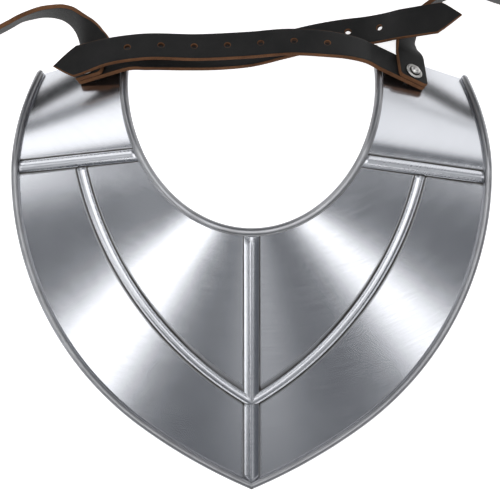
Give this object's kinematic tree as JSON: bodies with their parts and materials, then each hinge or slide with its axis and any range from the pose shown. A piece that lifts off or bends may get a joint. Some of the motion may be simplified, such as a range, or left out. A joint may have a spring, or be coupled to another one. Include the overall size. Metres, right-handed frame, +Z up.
{
  "type": "gorget",
  "caption": "Steel throat and chest plate with rolled edges and raised beads, tied by riveted leather straps that cross behind the neck and end in a plain clasp.",
  "frame": {"origin": "middle of the bounding box, on the surface that the gorget lies on", "axes": "+Z up, out of the outer face of the plate; +X to the wearer's left arm of the plate; +Y from the plate's point to the neck"},
  "size_m": [0.5206, 0.381, 0.0832],
  "materials": {
    "plate_steel": "satin polish",
    "fitting_steel": "satin",
    "black_leather": "smooth black face with raw brown edges"
  },
  "bodies": {
    "root": {"gorget_plate": "plate_steel", "strap_long_right": "black_leather", "strap_long_left": "black_leather", "strap_short_right": "black_leather", "strap_short_left": "black_leather", "rivet_right": "fitting_steel", "rivet_left": "fitting_steel", "washer_right": "fitting_steel", "washer_left": "fitting_steel", "buckle_right": "fitting_steel", "buckle_left": "fitting_steel", "buckle_rivet_right": "fitting_steel", "buckle_rivet_left": "fitting_steel"}
  },
  "joints": []
}
